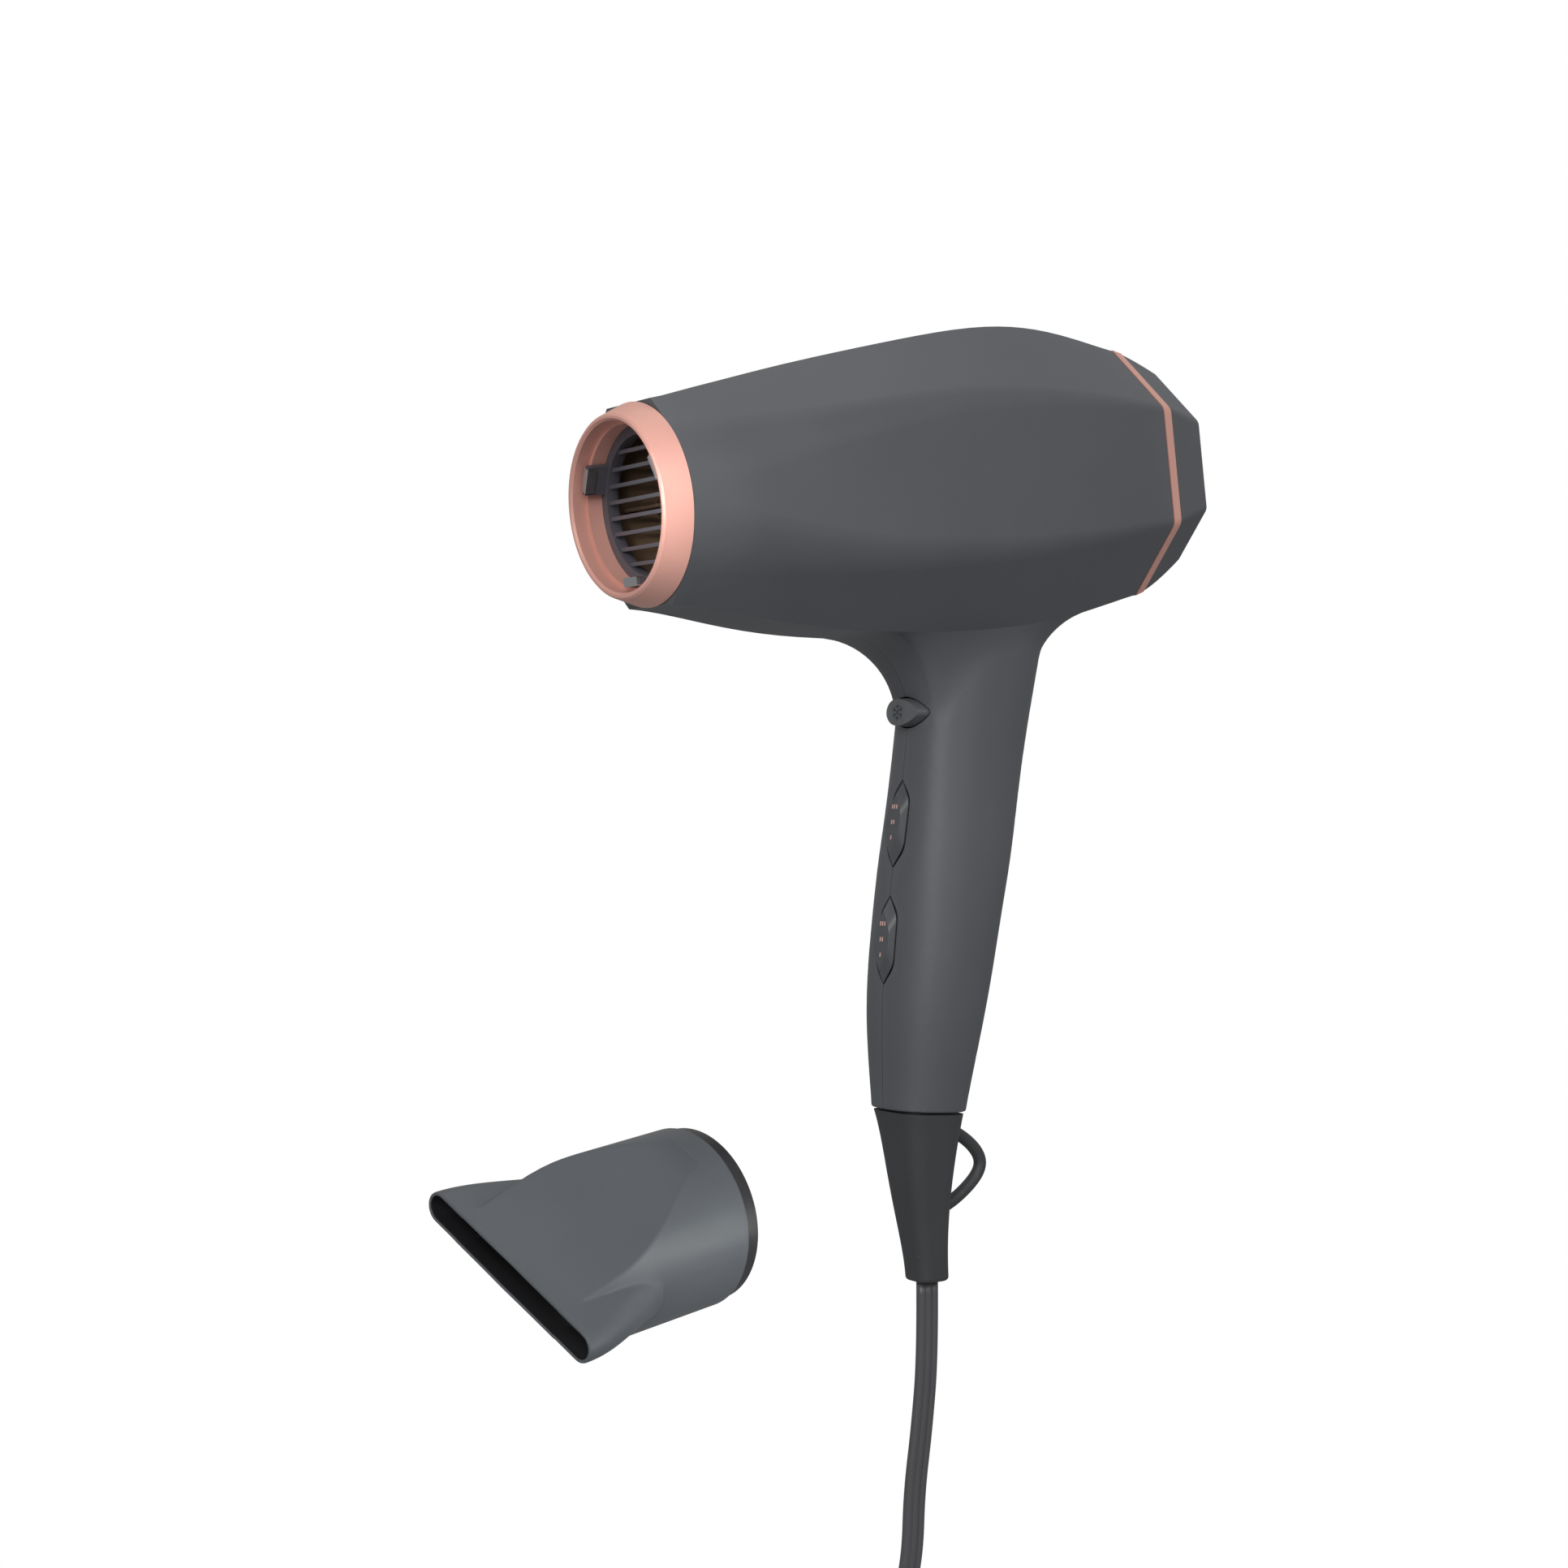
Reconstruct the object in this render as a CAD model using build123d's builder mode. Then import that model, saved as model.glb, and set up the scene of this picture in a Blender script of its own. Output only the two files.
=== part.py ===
"""Hair dryer with a detached slot nozzle, as separate pieces. Millimetres, +Z up.

The origin is the middle of the grip. The nose points towards -X and a little down, the dryer's
left side faces -Y, and the cord hangs straight down. Barrel parts are drawn in planes across the
barrel's own axis, at a distance s behind the nose's front lip.
"""

import os
from math import copysign, cos, pi, radians, sin, tan

from build123d import *

os.makedirs("parts", exist_ok=True)

# ---- Driving dimensions -------------------------------------------------------------------
wall = 2.2  # housing shells
barrel_tilt = 7.4  # the nose points this many degrees below level
nose_x, nose_z = -116.0, 100.0  # middle of the nose's front lip

lip_radius = 26.0  # nose ring, front outside
ring_back_radius = 28.9  # nose ring, back outside
ring_length = 7.9  # nose ring, visible length
socket_radius = 24.1  # bore that takes the nozzle's collar
socket_depth = 5.0
ring_inner_radius = 22.9  # bore behind the socket
ring_end = 15.0  # back end of the ring's spigot
seam = 0.3  # gap between neighbouring outer pieces
press_gap = 0.2  # gap between a piece and the piece that it is pushed into

grille_front = 9.6
grille_depth = 3.8
grille_opening = 19.9
bar_count = 8
bar_pitch = 4.58
bar_height = 1.1
tab_angles = (26, 154, 270)
tab_width = 8.6
tab_thickness = 1.7
tab_front = 2.9

barrel_end = 180.0  # back edge of the housing
band_length = 3.6
cap_end = barrel_end + 21.2

handle_end = -75.4  # bottom of the grip at its middle
handle_end_tilt = 3.4  # the bottom rim drops this many degrees towards the back
junction_radius = 25.0  # blend between barrel and handle

sleeve_radius = 25.6  # heater's mica sleeve, outside
sleeve_start, sleeve_end = 16.0, 92.0
sleeve_wall = 0.6
board_thickness = 0.9
board_start, board_end = 17.5, 90.0
winding_start, winding_end = 26.0, 80.0
winding_reach = 22.6  # heater wire's distance from the axis at the board edges
winding_turns = 9
heater_wire = 0.9

motor_radius = 13.8
motor_start, motor_end = 100.0, 137.0
shaft_radius = 1.15
running_gap = 0.05
shroud_radius = 34.0
shroud_wall = 1.6
shroud_start, shroud_end = 98.0, 154.0
fan_start, fan_end = 140.5, 152.0
fan_hub_radius = 14.5
fan_gap = 0.7
blade_count = 9
vane_count = 7

rocker_length, rocker_width = 25.8, 8.0
rocker_gap = 0.5  # gap round the rocker caps
rocker_rise = 2.0
rocker_swing = 8.0  # degrees each way
rocker_pivot_depth = 4.8
trunnion_radius = 1.0
button_width, button_height = 17.4, 8.9
button_rise = 4.5
button_crown = 18.5  # radius of the button's curved face
button_gap = 0.35
button_travel = 2.0

boot_top = -76.2
boot_bottom = -127.6
boot_neck = 10.0

cord_width, cord_thickness = 7.6, 3.4
hank_bottom_drop = 158.0  # height of the folded hank
hank_outer = 31.0  # half width of the hank at its two ends
hank_waist = 15.0  # half width of the hank under its tie
hank_depth = 17.0

# ---- Frames and outlines ------------------------------------------------------------------
barrel_dir = Vector(cos(radians(barrel_tilt)), 0, sin(radians(barrel_tilt)))
barrel_up = Vector(-sin(radians(barrel_tilt)), 0, cos(radians(barrel_tilt)))
nose = Vector(nose_x, 0, nose_z)
barrel_axis = Axis(nose, barrel_dir)

# Barrel stations: s, half height up, half height down, half width, heights of the upper and
# lower creases of the side facet, and the corner radii at the facet and at top and bottom.
barrel_stations = (
    (ring_length + seam, 28.6, 28.6, 28.6, 11.85, 11.85, 27.0, 27.0),
    (40, 34.1, 36.2, 33.5, 15.6, 18.0, 20.0, 26.0),
    (75, 39.4, 42.7, 38.5, 20.0, 22.3, 13.0, 28.0),
    (105, 43.2, 45.3, 40.3, 22.0, 23.4, 10.0, 30.0),
    (130, 44.7, 45.6, 40.5, 21.2, 23.0, 8.0, 30.0),
    (155, 42.3, 43.8, 38.0, 19.0, 21.6, 6.0, 28.0),
    (barrel_end, 36.6, 40.4, 33.0, 16.1, 19.8, 3.5, 24.0),
)
cap_stations = (
    (barrel_end + seam + band_length + seam, 35.4, 39.4, 32.0, 15.6, 19.4, 3.5, 23.0),
    (barrel_end + 11.5, 32.8, 36.4, 29.9, 13.8, 17.8, 3.5, 21.0),
    (cap_end, 28.4, 29.6, 26.8, 11.4, 15.8, 3.0, 16.0),
)

# Handle stations: height, front, back and half width of each level section.
handle_stations = (
    (-90, -23.0, 1.6, 11.0),
    (-75.5, -22.7, 4.3, 13.2),
    (-57.6, -23.0, 7.4, 16.2),
    (-39.6, -22.7, 11.2, 18.0),
    (-21.7, -21.1, 14.9, 18.5),
    (-3.8, -19.2, 19.1, 18.1),
    (14.2, -16.6, 22.7, 17.2),
    (32.1, -14.4, 26.2, 16.3),
    (50, -12.1, 29.9, 16.4),
    (74, -9.0, 35.0, 17.0),
    (88, -7.0, 38.0, 17.5),
)


def barrel_point(s, up=0.0, side=0.0):
    """A point s behind the nose, up and to the side of the barrel's axis."""
    return nose + barrel_dir * s + barrel_up * up + Vector(0, side, 0)


def across_barrel(s):
    """The plane across the barrel at s. Its x is +Y and its y is the barrel's up."""
    return Plane(origin=barrel_point(s), x_dir=(0, 1, 0), z_dir=barrel_dir)


# The dryer's middle plane in barrel terms: x is s and y is up.
barrel_side = Plane(origin=nose, x_dir=barrel_dir, z_dir=(0, -1, 0))


def facet_outline(station, inset=0.0):
    """Eight-sided barrel outline with rounded corners, on its plane across the barrel."""
    s, up, down, side, high, low, facet_round, crown_round = station
    top, bottom, half = up - inset, down - inset, side - inset
    upper = high - inset * tan(pi / 8)
    lower = low - inset * tan(pi / 8)
    roof = half - (top - upper)
    floor = half - (bottom - lower)
    with BuildSketch(across_barrel(s)) as outline:
        with BuildLine():
            Polyline(
                (roof, top),
                (half, upper),
                (half, -lower),
                (floor, -bottom),
                (-floor, -bottom),
                (-half, -lower),
                (-half, upper),
                (-roof, top),
                close=True,
            )
        make_face()
        corners = outline.vertices()
        fillet(corners.filter_by(lambda v: abs(abs(v.X) - half) < 0.01), max(facet_round - inset, 0.6))
        fillet(corners.filter_by(lambda v: abs(abs(v.X) - half) > 0.01), crown_round - inset)
    return outline.sketch_local


def barrel_loft(stations, inset=0.0):
    """A solid through the barrel outlines."""
    with BuildPart() as form:
        for station in stations:
            with BuildSketch(across_barrel(station[0])):
                add(facet_outline(station, inset))
        loft()
    return form.part


def between(stations, s):
    """The barrel station at s, between its two neighbours."""
    for low, high in zip(stations, stations[1:]):
        if low[0] <= s <= high[0]:
            share = (s - low[0]) / (high[0] - low[0])
            return tuple(a + (b - a) * share for a, b in zip(low, high))
    return stations[0] if s < stations[0][0] else stations[-1]


def grip_section(height, inset=0.0):
    """Middle, half depth and half width of the handle at a height."""
    for low, high in zip(handle_stations, handle_stations[1:]):
        if low[0] <= height <= high[0]:
            share = (height - low[0]) / (high[0] - low[0])
            front, back, half = (a + (b - a) * share for a, b in zip(low[1:], high[1:]))
            return (front + back) / 2, (back - front) / 2 - inset, half - inset
    raise ValueError("height is off the handle")


def soft_square(middle, half_x, half_y, power=2.5, count=12):
    """Points of a rounded-square curve about (middle, 0)."""
    points = []
    for step in range(count):
        turn = 2 * pi * step / count
        x = half_x * copysign(abs(cos(turn)) ** (2 / power), cos(turn))
        y = half_y * copysign(abs(sin(turn)) ** (2 / power), sin(turn))
        points.append((middle + x, y))
    return points


def handle_loft(inset=0.0, top=88):
    """A solid through the handle's level sections."""
    with BuildPart() as form:
        for height, front, back, half in handle_stations:
            if height <= top:
                with BuildSketch(Plane.XY.offset(height)):
                    with BuildLine():
                        outline = soft_square(
                            (front + back) / 2, (back - front) / 2 - inset, half - inset
                        )
                        Spline(*outline, periodic=True)
                    make_face()
        loft()
    return form.part


def front_of_grip(height, tilt):
    """Plane on the handle's front: x runs along -Y, y runs up the handle, z points out."""
    middle, half_depth, _ = grip_section(height)
    out = Vector(-cos(radians(tilt)), 0, sin(radians(tilt)))
    return Plane(origin=(middle - half_depth, 0, height), x_dir=(0, -1, 0), z_dir=out)


def save(piece, name):
    """Labels a finished piece and writes it."""
    piece.label = name
    export_step(piece, f"parts/{name}.step")


def tube_along(points, radii, profile_radius):
    """A round tube along straight runs with rounded corners."""
    with BuildPart() as tube:
        with BuildLine() as route:
            FilletPolyline(*points, radius=radii) if len(points) > 2 else Line(*points)
        with BuildSketch(Plane(origin=route.line @ 0, z_dir=route.line % 0)):
            Circle(profile_radius)
        sweep()
    return tube.part


# ---- Housing halves -----------------------------------------------------------------------
upper_rocker_height, upper_rocker_tilt = 11.0, 9.0
lower_rocker_height, lower_rocker_tilt = -24.0, 6.0
button_level = 44.6
upper_rocker_plane = front_of_grip(upper_rocker_height, upper_rocker_tilt)
lower_rocker_plane = front_of_grip(lower_rocker_height, lower_rocker_tilt)
button_plane = front_of_grip(button_level, 0)
end_middle = grip_section(handle_end)[0]
end_plane = Plane(
    origin=(end_middle, 0, handle_end),
    z_dir=(-sin(radians(handle_end_tilt)), 0, -cos(radians(handle_end_tilt))),
)


def rocker_outline(length, width, shoulder=5.6, tip_round=2.0, shoulder_round=7.0):
    """Long outline with a blunt point at each end. Its length runs along y."""
    with BuildSketch() as outline:
        with BuildLine():
            Polyline(
                (0, length / 2),
                (width / 2, length / 2 - shoulder),
                (width / 2, -length / 2 + shoulder),
                (0, -length / 2),
                (-width / 2, -length / 2 + shoulder),
                (-width / 2, length / 2 - shoulder),
                close=True,
            )
        make_face()
        corners = outline.vertices()
        fillet(corners.filter_by(lambda v: abs(v.X) > 0.1), shoulder_round)
        fillet(corners.filter_by(lambda v: abs(v.X) < 0.1), tip_round)
    return outline.sketch


def eye_outline(width, height, tip_round=1.6):
    """A pointed oval. Its width runs along x."""
    with BuildSketch() as outline:
        with BuildLine():
            upper = ThreePointArc((-width / 2, 0), (0, height / 2), (width / 2, 0))
            ThreePointArc(upper @ 1, (0, -height / 2), upper @ 0)
        make_face()
        fillet(outline.vertices(), tip_round)
    return outline.sketch


boss_places = (
    (barrel_point(148, -37.8), 3.1),
    (Vector(-1.5, 0, 29.0), 3.1),
    (Vector(-12.5, 0, -50.0), 3.1),
)
screw_radius = 1.5

with BuildPart() as shell:
    add(barrel_loft(barrel_stations))
    add(handle_loft())
    junction = shell.edges().filter_by(
        lambda e: e.bounding_box().min.Z > 50
        and e.bounding_box().max.Z < 90
        and e.bounding_box().min.X > -25
        and e.bounding_box().max.X < 52
    )
    fillet(junction, junction_radius)
    # everything below the handle's rim
    with BuildSketch(end_plane):
        Rectangle(80, 80)
    extrude(amount=40, mode=Mode.SUBTRACT)
    rim = shell.edges().filter_by(lambda e: e.bounding_box().max.Z < handle_end + 3)
    fillet(rim, 0.7)
    # hollow barrel, open at both ends
    add(barrel_loft(barrel_stations, wall), mode=Mode.SUBTRACT)
    # hollow handle, which opens into the barrel and at the rim
    add(handle_loft(wall), mode=Mode.SUBTRACT)
    # openings for the two rockers and the push button
    for place in (upper_rocker_plane, lower_rocker_plane):
        with BuildSketch(place.offset(-8)):
            add(rocker_outline(rocker_length + 3.2 * rocker_gap, rocker_width + 2 * rocker_gap))
        extrude(amount=16, mode=Mode.SUBTRACT)
    with BuildSketch(button_plane.offset(-9)):
        add(eye_outline(button_width + 3 * button_gap, button_height + 2 * button_gap))
    extrude(amount=18, mode=Mode.SUBTRACT)

with BuildPart() as posts:
    # hollow screw posts across the inside, cut to the cavity
    for place, radius in boss_places:
        with BuildSketch(Plane(origin=place, x_dir=(1, 0, 0), z_dir=(0, 1, 0))):
            Circle(radius)
            Circle(screw_radius + 0.1, mode=Mode.SUBTRACT)
        extrude(amount=45, both=True)
    add(handle_loft(wall - 0.1) + barrel_loft(barrel_stations, wall - 0.1), mode=Mode.INTERSECT)

screw_seat = 9.0  # the screw heads sit this far from the middle plane


def housing_half(side):
    """One half shell with its screw posts; side is -1 for left and +1 for right."""
    with BuildPart() as half:
        add(shell.part)
        add(posts.part)
        with BuildSketch(Plane.XZ):
            with Locations((0, 0)):
                Rectangle(600, 600)
        extrude(amount=60 * side, mode=Mode.SUBTRACT)
        if side > 0:
            # open the posts from outside, so that the screws go in from the right
            for place, _ in boss_places:
                seat = Plane(origin=place + Vector(0, screw_seat, 0), x_dir=(1, 0, 0), z_dir=(0, 1, 0))
                with BuildSketch(seat):
                    Circle(screw_radius + 1.2)
                extrude(amount=50, mode=Mode.SUBTRACT)
    return half.part


save(housing_half(-1), "housing_left")
save(housing_half(1), "housing_right")

with BuildPart() as housing_screws:
    for place, _ in boss_places:
        with BuildSketch(Plane(origin=place + Vector(0, -6, 0), x_dir=(1, 0, 0), z_dir=(0, 1, 0))):
            Circle(screw_radius)
        extrude(amount=6 + screw_seat + 0.1)
        with BuildSketch(Plane(origin=place + Vector(0, screw_seat, 0), x_dir=(1, 0, 0), z_dir=(0, 1, 0))):
            Circle(screw_radius + 1.0)
        extrude(amount=1.8)
save(housing_screws.part, "housing_screws")

# ---- Nose ---------------------------------------------------------------------------------
with BuildPart() as nose_ring:
    with BuildSketch(barrel_side):
        with BuildLine():
            Polyline(
                (0.7, socket_radius),
                (0, socket_radius + 0.6),
                (0, lip_radius - 0.6),
                (0.6, lip_radius),
                (ring_length, ring_back_radius),
                (ring_length, 28.6 - wall - press_gap),
                (ring_end, 28.6 - wall - press_gap),
                (ring_end, ring_inner_radius),
                (socket_depth, ring_inner_radius),
                (socket_depth, socket_radius),
                close=True,
            )
        make_face()
    revolve(axis=barrel_axis)
save(nose_ring.part, "nose_ring")

grille_outer = ring_inner_radius - press_gap
with BuildPart() as outlet_grille:
    with BuildSketch(across_barrel(grille_front)):
        Circle(grille_outer)
        Circle(grille_opening, mode=Mode.SUBTRACT)
    extrude(amount=grille_depth)
    with BuildSketch(across_barrel(grille_front + 0.8)):
        with GridLocations(0, bar_pitch, 1, bar_count):
            Rectangle(2 * grille_outer, bar_height)
        Circle(grille_opening + 1, mode=Mode.INTERSECT)
    extrude(amount=1.6)
    with BuildSketch(across_barrel(tab_front)):
        with PolarLocations(grille_opening + 0.4 + tab_thickness / 2, 1, tab_angles[0]):
            Rectangle(tab_thickness, tab_width)
        with PolarLocations(grille_opening + 0.4 + tab_thickness / 2, 1, tab_angles[1]):
            Rectangle(tab_thickness, tab_width)
        with PolarLocations(grille_opening + 0.4 + tab_thickness / 2, 1, tab_angles[2]):
            Rectangle(tab_thickness, tab_width)
    extrude(amount=grille_front + 1 - tab_front)
save(outlet_grille.part, "outlet_grille")

clip_metal = 0.4
clip_reach = 2.6
with BuildPart() as nozzle_clips:
    for angle in tab_angles:
        with BuildSketch(across_barrel(tab_front - clip_metal - 0.05)):
            with PolarLocations(grille_opening + 0.4 + tab_thickness / 2, 1, angle):
                Rectangle(tab_thickness + 2 * clip_metal + 0.1, tab_width - 1.4)
        extrude(amount=clip_metal + clip_reach)
        with BuildSketch(across_barrel(tab_front - 0.05)):
            with PolarLocations(grille_opening + 0.4 + tab_thickness / 2, 1, angle):
                Rectangle(tab_thickness + 0.1, tab_width)
        extrude(amount=clip_reach + 1, mode=Mode.SUBTRACT)
save(nozzle_clips.part, "nozzle_clips")

# ---- Heater -------------------------------------------------------------------------------
with BuildPart() as mica_sleeve:
    with BuildSketch(across_barrel(sleeve_start)):
        Circle(sleeve_radius)
        Circle(sleeve_radius - sleeve_wall, mode=Mode.SUBTRACT)
    extrude(amount=sleeve_end - sleeve_start)
save(mica_sleeve.part, "mica_sleeve")

winding_bend = 1.6
board_reach = winding_reach - winding_bend * (2**0.5 - 1) - heater_wire / 2 - 0.1
lug_reach = sleeve_radius - sleeve_wall - 0.1
board_middle = (board_start + board_end) / 2


def heater_board(slot_from, slot_to):
    """Outline of one mica board, along s: lugs at both ends and a slot for the other board."""
    with BuildSketch() as outline:
        with Locations((board_middle, 0)):
            Rectangle(board_end - board_start, 2 * board_reach)
        for middle in (board_start + 2.5, board_end - 2.5):
            with Locations((middle, 0)):
                Rectangle(5, 2 * lug_reach)
        with Locations(((slot_from + slot_to) / 2, 0)):
            Rectangle(slot_to - slot_from, board_thickness + 0.2, mode=Mode.SUBTRACT)
    return outline.sketch


with BuildPart() as mica_board_upright:
    with BuildSketch(barrel_side):
        add(heater_board(board_middle, board_end + 1))
    extrude(amount=board_thickness / 2, both=True)
save(mica_board_upright.part, "mica_board_upright")

board_level_plane = Plane(origin=nose, x_dir=barrel_dir, z_dir=barrel_up)
with BuildPart() as mica_board_level:
    with BuildSketch(board_level_plane):
        add(heater_board(board_start - 1, board_middle + 0.1))
    extrude(amount=board_thickness / 2, both=True)
save(mica_board_level.part, "mica_board_level")

winding_corners = 4 * winding_turns + 1
winding_step = (winding_end - winding_start) / (winding_corners - 1)
winding_route = [
    barrel_point(
        winding_start + corner * winding_step,
        winding_reach * cos(corner * pi / 2),
        winding_reach * sin(corner * pi / 2),
    )
    for corner in range(winding_corners)
]
heater_winding = tube_along(winding_route, [winding_bend] * (winding_corners - 2), heater_wire / 2)
save(heater_winding, "heater_winding")

with BuildPart() as thermal_cutoff:
    with BuildSketch(barrel_side.offset(board_thickness / 2)):
        with Locations((37, 7)):
            RectangleRounded(13, 8, 1)
    extrude(amount=4)
    with BuildSketch(barrel_side.offset(board_thickness / 2 + 4)):
        with Locations((37, 7)):
            RectangleRounded(10, 4, 0.5)
    extrude(amount=0.8)
save(thermal_cutoff.part, "thermal_cutoff")

with BuildPart() as thermal_fuse:
    fuse_plane = across_barrel(52)
    with BuildSketch(fuse_plane):
        with Locations((board_thickness / 2 + 2.1, 7)):
            Circle(1.9)
    extrude(amount=11)
    with BuildSketch(across_barrel(46)):
        with Locations((board_thickness / 2 + 2.1, 7)):
            Circle(0.5)
    extrude(amount=23)
save(thermal_fuse.part, "thermal_fuse")

# ---- Motor and fan ------------------------------------------------------------------------
cup_radius = motor_radius + 0.15
with BuildPart() as fan_shroud:
    with BuildSketch(across_barrel(shroud_start)):
        Circle(shroud_radius)
        Circle(shroud_radius - shroud_wall, mode=Mode.SUBTRACT)
    extrude(amount=shroud_end - shroud_start)
    with BuildSketch(across_barrel(motor_start + 4)):
        Circle(cup_radius + 1.2)
        Circle(cup_radius, mode=Mode.SUBTRACT)
    extrude(amount=28)
    with BuildSketch(across_barrel(motor_start + 6)):
        with PolarLocations((cup_radius + shroud_radius) / 2, vane_count):
            Rectangle(shroud_radius - shroud_wall - cup_radius - 0.2, 1.4)
    extrude(amount=22)
save(fan_shroud.part, "fan_shroud")

with BuildPart() as motor_can:
    with BuildSketch(across_barrel(motor_start)):
        Circle(motor_radius)
    extrude(amount=motor_end - motor_start)
    with BuildSketch(across_barrel(motor_end)):
        Circle(4.5)
    extrude(amount=2)
    with BuildSketch(across_barrel(motor_start)):
        Circle(motor_radius - 1.0)
    extrude(amount=motor_end - motor_start - 1.0, mode=Mode.SUBTRACT)
    with BuildSketch(across_barrel(motor_start)):
        Circle(shaft_radius + running_gap)
    extrude(amount=60, mode=Mode.SUBTRACT)
save(motor_can.part, "motor_can")

with BuildPart() as motor_end_cap:
    with BuildSketch(across_barrel(motor_start)):
        Circle(motor_radius - 1.1)
        Circle(shaft_radius + running_gap, mode=Mode.SUBTRACT)
    extrude(amount=3)
    with BuildSketch(across_barrel(motor_start - 1.5)):
        Circle(motor_radius - 1.1)
        Circle(shaft_radius + running_gap, mode=Mode.SUBTRACT)
    extrude(amount=1.5)
save(motor_end_cap.part, "motor_end_cap")

with BuildPart() as motor_magnets:
    with BuildSketch(across_barrel(motor_start + 6)):
        Circle(motor_radius - 1.1)
        Circle(motor_radius - 4.0, mode=Mode.SUBTRACT)
        Rectangle(60, 7, mode=Mode.SUBTRACT)
    extrude(amount=24)
save(motor_magnets.part, "motor_magnets")

armature_radius = motor_radius - 4.0 - 0.5
with BuildPart() as motor_armature:
    with BuildSketch(across_barrel(motor_start + 9)):
        Circle(armature_radius)
        with PolarLocations(armature_radius - 2.3, 5):
            Circle(2.0, mode=Mode.SUBTRACT)
        with PolarLocations(armature_radius, 5):
            Rectangle(2.4, 1.4, mode=Mode.SUBTRACT)
        Circle(shaft_radius, mode=Mode.SUBTRACT)
    extrude(amount=18)
    with BuildSketch(across_barrel(motor_start + 4.5)):
        Circle(3.0)
        Circle(shaft_radius, mode=Mode.SUBTRACT)
    extrude(amount=4.5)
save(motor_armature.part, "motor_armature")

with BuildPart() as motor_shaft:
    with BuildSketch(across_barrel(motor_start - 1.0)):
        Circle(shaft_radius)
    extrude(amount=fan_end - motor_start)
save(motor_shaft.part, "motor_shaft")

fan_tip_radius = shroud_radius - shroud_wall - fan_gap
with BuildPart() as fan_impeller:
    with BuildSketch(barrel_side):
        with BuildLine():
            Polyline(
                (fan_start, shaft_radius),
                (fan_start, fan_hub_radius),
                (fan_end - 3, fan_hub_radius),
                (fan_end, fan_hub_radius - 5),
                (fan_end, shaft_radius),
                close=True,
            )
        make_face()
    revolve(axis=barrel_axis)
    # blades: a leaning strip at the hub lofted to a flatter one at the tip
    for number in range(blade_count):
        around = 360 * number / blade_count
        for radius, lean in ((fan_hub_radius - 2, 38), (fan_tip_radius, 62)):
            spoke = Vector(0, cos(radians(around)), 0) + barrel_up * sin(radians(around))
            middle = barrel_point((fan_start + fan_end) / 2) + spoke * radius
            flow = barrel_dir.rotate(Axis((0, 0, 0), spoke), lean)
            with BuildSketch(Plane(origin=middle, x_dir=flow, z_dir=spoke)):
                SlotOverall(11.5, 1.5)
        loft()
save(fan_impeller.part, "fan_impeller")

board_back = motor_start - 3.4
with BuildPart() as motor_board:
    with BuildSketch(across_barrel(board_back - 1.2)):
        Circle(motor_radius - 0.6)
        with PolarLocations(motor_radius - 3, 2):
            Circle(1.2, mode=Mode.SUBTRACT)
    extrude(amount=1.2)
save(motor_board.part, "motor_board")

with BuildPart() as motor_diodes:
    with BuildSketch(barrel_side.offset(-6.5)):
        with GridLocations(0, 5.5, 1, 4):
            with Locations((board_back + 0.95, 0)):
                Rectangle(1.8, 3.2)
    extrude(amount=13)
save(motor_diodes.part, "motor_diodes")

# ---- Back end -----------------------------------------------------------------------------
band_start = barrel_end + seam
band_end = band_start + band_length
spigot_inset = wall + press_gap


def barrel_ring(stations, from_s, to_s, inset, thickness, outline_at=None):
    """A faceted ring between two places. It follows the barrel, or is straight as at outline_at."""
    ends = [(s,) + between(stations, outline_at or s)[1:] for s in (from_s, to_s)]
    return barrel_loft(ends, inset) - barrel_loft(ends, inset + thickness)


band_proud = 0.25  # the band stands out this much
band_depth = 3.4
skirt_inset = band_depth + 0.3
skirt_wall = 1.2
back_stations = barrel_stations[-2:] + cap_stations
with BuildPart() as rear_band:
    add(barrel_ring(back_stations, band_start, band_end, -band_proud, band_proud + band_depth))
    add(barrel_ring(back_stations, band_start - 6, band_start + 0.5, spigot_inset, 1.1))
save(rear_band.part, "rear_band")

cap_start = cap_stations[0][0]
with BuildPart() as rear_cap:
    add(barrel_loft(cap_stations))
    rear_rim = rear_cap.faces().sort_by(barrel_axis)[-1].edges()
    fillet(rear_rim, 2.2)
    hollow = [cap_stations[0], cap_stations[1], (cap_end - wall,) + between(cap_stations, cap_end)[1:]]
    add(barrel_loft(hollow, wall), mode=Mode.SUBTRACT)
    # intake: rows of slots through the back wall
    with BuildSketch(across_barrel(cap_end - wall - 2)):
        with GridLocations(15.2, 4.6, 3, 9):
            SlotOverall(12.6, 2.4)
        Circle(22.5, mode=Mode.INTERSECT)
    extrude(amount=wall + 6, mode=Mode.SUBTRACT)
    # straight skirt that slides inside the band, and the flange that carries it
    add(barrel_ring(back_stations, band_end - 5.5, cap_start + 1, skirt_inset, skirt_wall, cap_start))
    add(barrel_ring(back_stations, cap_start, cap_start + 1.6, 1.0, skirt_inset + skirt_wall - 1.0, cap_start))
save(rear_cap.part, "rear_cap")

with BuildPart() as intake_filter:
    with BuildSketch(across_barrel(cap_end - wall - 2.4)):
        Circle(23.4)
    extrude(amount=1.0)
    with BuildSketch(across_barrel(cap_end - wall - 3)):
        with HexLocations(1.75, 12, 12):
            RegularPolygon(1.25, 6, rotation=30)
        Circle(21.6, mode=Mode.INTERSECT)
    extrude(amount=3, mode=Mode.SUBTRACT)
save(intake_filter.part, "intake_filter")

# ---- Rockers and their switches -----------------------------------------------------------
ear_top = 3.3  # the switch's ears start this far below the handle's surface
switch_top, switch_bottom = 6.6, 17.0
switch_length, switch_width = 20.0, 8.4


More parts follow.
